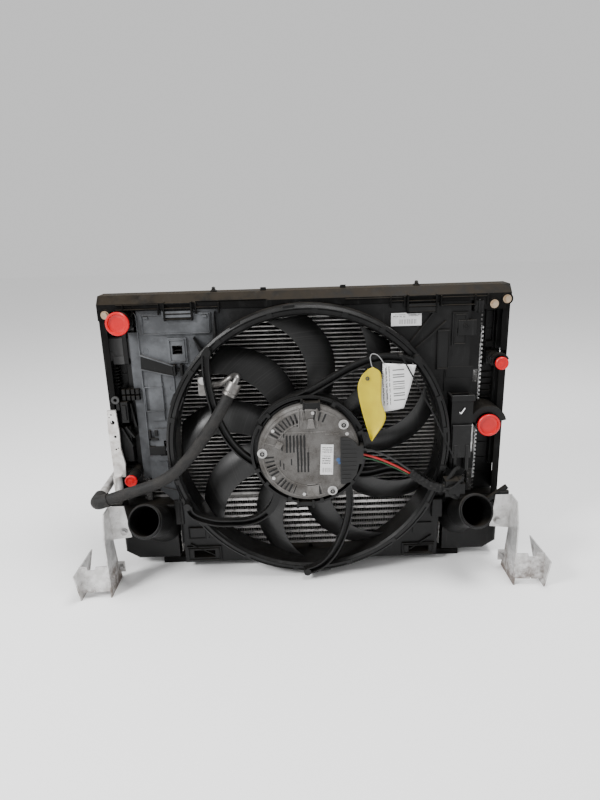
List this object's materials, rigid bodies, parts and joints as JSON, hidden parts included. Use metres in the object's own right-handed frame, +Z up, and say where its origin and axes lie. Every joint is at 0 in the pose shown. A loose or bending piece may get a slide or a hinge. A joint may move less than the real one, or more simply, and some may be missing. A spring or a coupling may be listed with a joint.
{
  "type": "car radiator cooling pack",
  "caption": "Engine cooling pack with radiator, charge-air cooler, condenser, cowl and electric fan on a motor carried by curved arms.",
  "frame": {"origin": "mid-width of the pack, under the radiator core's mid-thickness, on the lower rail's bottom face", "axes": "+X across the pack to the right seen from the fan side, +Y from the fan side to the grille side, +Z up"},
  "size_m": [0.861, 0.246, 0.5545],
  "materials": {
    "fin_aluminium": "dull brazed aluminium",
    "tank_black": "glass-filled nylon, dusty",
    "cowl_black": "moulded polypropylene, dusty",
    "carrier_black": "moulded carrier plastic with dust",
    "blade_black": "smooth satin plastic",
    "motor_cast": "rough die-cast aluminium",
    "motor_steel": "pressed steel",
    "copper": "enamelled copper",
    "board_green": "lacquered board",
    "rubber": "matte rubber",
    "hose_rubber": "ribbed dull rubber",
    "plug_red": "glossy red cap",
    "bright_metal": "bright sheet aluminium",
    "bracket_metal": "galvanised sheet, worn",
    "screw_zinc": "zinc plated",
    "lead_red": "red, black and green lead insulation",
    "tag_yellow": "yellow card",
    "tag_white": "white card"
  },
  "bodies": {
    "pack": {"ac_hose": "hose_rubber", "ac_line_pipe": "bright_metal", "ac_port_block": "bright_metal", "bottom_rail": "carrier_black", "bracket_arm_left": "bracket_metal", "bracket_arm_right": "bracket_metal", "bracket_bolts": "screw_zinc", "bracket_foot_left": "bracket_metal", "bracket_foot_right": "bracket_metal", "charge_air_fins": "fin_aluminium", "charge_air_headers": "fin_aluminium", "charge_air_tank_left": "tank_black", "charge_air_tank_right": "tank_black", "charge_air_tubes": "fin_aluminium", "circuit_board": "board_green", "condenser_fins": "fin_aluminium", "condenser_manifolds": "fin_aluminium", "condenser_tubes": "fin_aluminium", "connector_holder": "cowl_black", "corner_bolts": "screw_zinc", "fan_connector": "cowl_black", "fan_cowl": "cowl_black", "fan_ring": "cowl_black", "fitting_bolt": "screw_zinc", "header_left": "fin_aluminium", "header_right": "fin_aluminium", "hose_elbow": "rubber", "hose_fitting": "bright_metal", "lead_conduit": "rubber", "motor_base": "motor_cast", "motor_bearings": "motor_steel", "motor_cover": "motor_cast", "motor_leads": "lead_red", "motor_screws": "screw_zinc", "motor_windings": "copper", "port_spring_clips": "screw_zinc", "radiator_fins": "fin_aluminium", "radiator_side_plates": "fin_aluminium", "radiator_tubes": "fin_aluminium", "rail_clips": "carrier_black", "receiver_drier": "bright_metal", "side_frame_left": "carrier_black", "side_frame_right": "carrier_black", "stator_core": "motor_steel", "tank_gaskets": "rubber", "tank_left": "tank_black", "tank_right": "tank_black", "terminal_cover": "cowl_black", "top_rail": "carrier_black"},
    "rotor": {"fan_wheel": "blade_black", "rotor_bell": "motor_steel", "rotor_magnets": "motor_steel", "motor_shaft": "motor_steel"},
    "tags": {"tag_yellow": "tag_yellow", "tag_white": "tag_white", "tag_tie": "tag_white"},
    "plug_upper_left": {"plug_upper_left": "plug_red"},
    "plug_upper_right": {"plug_upper_right": "plug_red"},
    "plug_lower_left": {"plug_lower_left": "plug_red"},
    "plug_lower_right": {"plug_lower_right": "plug_red"}
  },
  "joints": [
    {"name": "fan_spin", "type": "hinge", "parent": "pack", "child": "rotor", "pos_m": [0, -0.07, 0.268], "axis": [0, -1, 0], "continuous": true},
    {"name": "tag_swing", "type": "hinge", "parent": "pack", "child": "tags", "pos_m": [0.117, -0.12, 0.436], "axis": [0, 1, 0], "range_deg": [-12, 3]},
    {"name": "plug_upper_left_pull", "type": "slide", "parent": "pack", "child": "plug_upper_left", "axis": [0, -1, 0], "range_m": [0, 0.02]},
    {"name": "plug_upper_right_pull", "type": "slide", "parent": "pack", "child": "plug_upper_right", "axis": [0, -1, 0], "range_m": [0, 0.02]},
    {"name": "plug_lower_left_pull", "type": "slide", "parent": "pack", "child": "plug_lower_left", "axis": [0, -1, 0], "range_m": [0, 0.014]},
    {"name": "plug_lower_right_pull", "type": "slide", "parent": "pack", "child": "plug_lower_right", "axis": [0, -1, 0], "range_m": [0, 0.02]}
  ]
}
